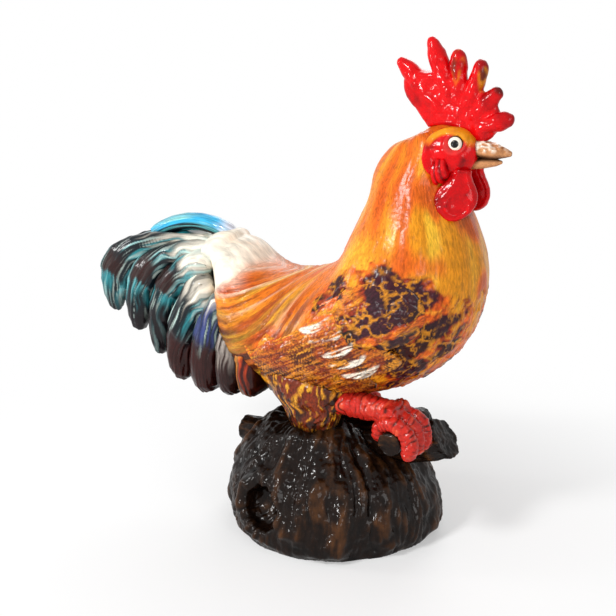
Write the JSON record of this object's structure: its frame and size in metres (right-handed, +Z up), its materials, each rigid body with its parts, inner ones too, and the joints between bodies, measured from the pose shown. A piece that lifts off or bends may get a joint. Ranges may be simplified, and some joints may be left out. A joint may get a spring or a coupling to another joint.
{
  "type": "rooster figure",
  "caption": "Glossy hand-painted rooster figure standing on a dark tree stump, with a fan of sickle tail feathers; a free-standing folk ornament.",
  "frame": {"origin": "on the stump's flat underside, below the middle of the stump", "axes": "+X towards the beak, -Y out of the bird's right flank, +Z up through the comb"},
  "size_m": [0.2816, 0.13, 0.3004],
  "materials": {
    "plumage": "brush-painted orange and yellow plumage under thick gloss varnish",
    "flesh_red": "bright red paint under gloss varnish",
    "horn": "tan-pink paint under gloss varnish",
    "eye_enamel": "white eye with a black pupil under gloss varnish",
    "wing_plumage": "brown and yellow webbed plumage under gloss varnish",
    "tail_plumage": "teal, blue-black and brown plumage under gloss varnish",
    "thigh_plumage": "brown and orange plumage under gloss varnish",
    "leg_scales": "red-orange scales under gloss varnish",
    "bark": "very dark brown bark under gloss varnish",
    "steel": "plain drawn rod"
  },
  "bodies": {
    "root": {"body": "plumage", "comb": "flesh_red", "comb_pins": "steel", "earlobe_left": "flesh_red", "earlobe_right": "flesh_red", "eye_left": "eye_enamel", "eye_right": "eye_enamel", "face_left": "flesh_red", "face_right": "flesh_red", "foot_left": "leg_scales", "foot_right": "leg_scales", "leg_rods": "steel", "log_branch": "bark", "lower_beak": "horn", "perch_branch": "bark", "stub_branch": "bark", "stump_base": "bark", "tail_core": "tail_plumage", "tail_dowel": "steel", "tail_sickle_1_left": "tail_plumage", "tail_sickle_1_right": "tail_plumage", "tail_sickle_2_left": "tail_plumage", "tail_sickle_2_right": "tail_plumage", "tail_sickle_3_left": "tail_plumage", "tail_sickle_3_right": "tail_plumage", "tail_sickle_4_left": "tail_plumage", "tail_sickle_4_right": "tail_plumage", "tail_sickle_5_left": "tail_plumage", "tail_sickle_5_right": "tail_plumage", "tail_sickle_6_left": "tail_plumage", "tail_sickle_6_right": "tail_plumage", "tail_sickle_7_left": "tail_plumage", "tail_sickle_7_right": "tail_plumage", "thigh_left": "thigh_plumage", "thigh_right": "thigh_plumage", "top_sickle": "tail_plumage", "upper_beak": "horn", "wattle_left": "flesh_red", "wattle_right": "flesh_red", "wing_coverts_left": "wing_plumage", "wing_coverts_right": "wing_plumage", "wing_primaries_left": "wing_plumage", "wing_primaries_right": "wing_plumage", "wing_shoulder_left": "wing_plumage", "wing_shoulder_right": "wing_plumage"}
  },
  "joints": []
}
